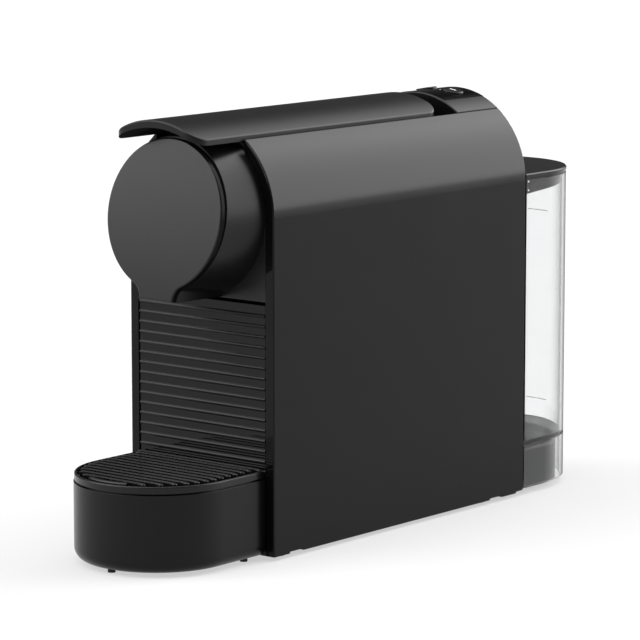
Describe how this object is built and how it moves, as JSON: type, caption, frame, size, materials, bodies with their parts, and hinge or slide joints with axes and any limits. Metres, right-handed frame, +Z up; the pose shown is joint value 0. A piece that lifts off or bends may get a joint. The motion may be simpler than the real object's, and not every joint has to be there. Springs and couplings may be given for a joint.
{
  "type": "capsule coffee machine",
  "caption": "Slim capsule coffee machine: arched black casing, lift-up lever, drum-shaped nose with spout, ribbed bin drawer with drip tray, and a clear water tank at the back.",
  "frame": {"origin": "on the table, under the middle of the overall length and width", "axes": "+Z up, -Y the front with the nose and drip tray, +Y the back with the water tank, +X the right side seen from the front"},
  "size_m": [0.108, 0.4, 0.2495],
  "materials": {
    "shell_black": "satin black moulding",
    "nose_black": "satin black moulding",
    "lever_black": "fine matt black",
    "panel_gloss": "polished black inlay",
    "rib_gloss": "polished black ribs",
    "button_black": "semi-gloss black key",
    "tray_black": "satin black moulding",
    "inner_black": "plain black moulding",
    "tank_clear": "clear polished plastic",
    "lid_black": "satin black moulding",
    "dock_grey": "satin dark grey moulding",
    "rubber_black": "soft black rubber",
    "steel": "plain steel",
    "cast_aluminium": "sand cast",
    "pump_grey": "light grey moulding",
    "board_green": "coated circuit board",
    "hose_clear": "milky silicone"
  },
  "bodies": {
    "housing": {"left_side_cover": "shell_black", "right_side_cover": "shell_black", "base_plate": "inner_black", "cord_gland": "rubber_black", "base_feet": "rubber_black", "base_screws": "steel", "rear_panel": "inner_black", "rear_cap": "shell_black", "control_panel": "panel_gloss", "button_board": "board_green", "front_fascia": "nose_black", "nose_face": "nose_black", "nose_housing": "nose_black", "coffee_spout": "inner_black", "brew_frame": "inner_black", "extraction_plate": "steel", "extraction_seal": "rubber_black", "hinge_pins": "steel", "top_deck": "inner_black", "shelf": "inner_black", "heater": "cast_aluminium", "pump": "pump_grey", "pump_rings": "rubber_black", "flow_meter": "pump_grey", "suction_hose": "hose_clear", "pump_hose": "hose_clear", "feed_hose": "hose_clear", "control_board": "board_green", "tank_dock": "dock_grey", "inlet_port": "dock_grey", "port_seal": "rubber_black"},
    "lever_arm": {"lever": "lever_black", "knee_pins": "steel"},
    "links": {"toggle_links": "steel"},
    "cage": {"capsule_cage": "inner_black", "piercing_needles": "steel", "cage_pin": "steel", "feed_tube": "steel"},
    "short_cup_key": {"short_cup_button": "button_black"},
    "long_cup_key": {"long_cup_button": "button_black"},
    "drawer": {"drip_tray": "tray_black", "tray_feet": "rubber_black", "ribbed_panel": "rib_gloss", "capsule_bin": "inner_black"},
    "grille": {"drip_grille": "tray_black"},
    "tank": {"tank_body": "tank_clear", "strainer": "dock_grey"},
    "valve": {"tank_valve": "dock_grey"},
    "lid": {"tank_lid": "lid_black"}
  },
  "joints": [
    {"name": "lever_hinge", "type": "hinge", "parent": "housing", "child": "lever_arm", "pos_m": [0, 0.054, 0.226], "axis": [-1, 0, 0], "range_deg": [0, 66]},
    {"name": "link_pivot", "type": "hinge", "parent": "lever_arm", "child": "links", "pos_m": [0, 0.0315, 0.2335], "axis": [1, 0, 0], "range_deg": [0, 80.5]},
    {"name": "cage_slide", "type": "slide", "parent": "housing", "child": "cage", "axis": [0, 1, 0], "range_m": [0, 0.0302]},
    {"name": "short_cup_press", "type": "slide", "parent": "housing", "child": "short_cup_key", "axis": [0.1857, 0, -0.9826], "range_m": [0, 0.0012], "stiffness_N_per_m": 800},
    {"name": "long_cup_press", "type": "slide", "parent": "housing", "child": "long_cup_key", "axis": [-0.1857, 0, -0.9826], "range_m": [0, 0.0012], "stiffness_N_per_m": 800},
    {"name": "drawer_slide", "type": "slide", "parent": "housing", "child": "drawer", "axis": [0, -1, 0], "range_m": [0, 0.105]},
    {"name": "grille_lift", "type": "slide", "parent": "drawer", "child": "grille", "axis": [0, 0, 1], "range_m": [0, 0.04]},
    {"name": "tank_lift", "type": "slide", "parent": "housing", "child": "tank", "axis": [0, 0, 1], "range_m": [0, 0.12]},
    {"name": "valve_stroke", "type": "slide", "parent": "tank", "child": "valve", "axis": [0, 0, 1], "range_m": [0, 0.003], "stiffness_N_per_m": 150, "springref_m": -0.002},
    {"name": "lid_lift", "type": "slide", "parent": "tank", "child": "lid", "axis": [0, 0, 1], "range_m": [0, 0.04]}
  ],
  "couplings": [
    {"joint": "link_pivot", "follows": "lever_hinge", "ratio": 1.2176},
    {"joint": "cage_slide", "follows": "lever_hinge", "m_per_rad": 0.026177}
  ]
}
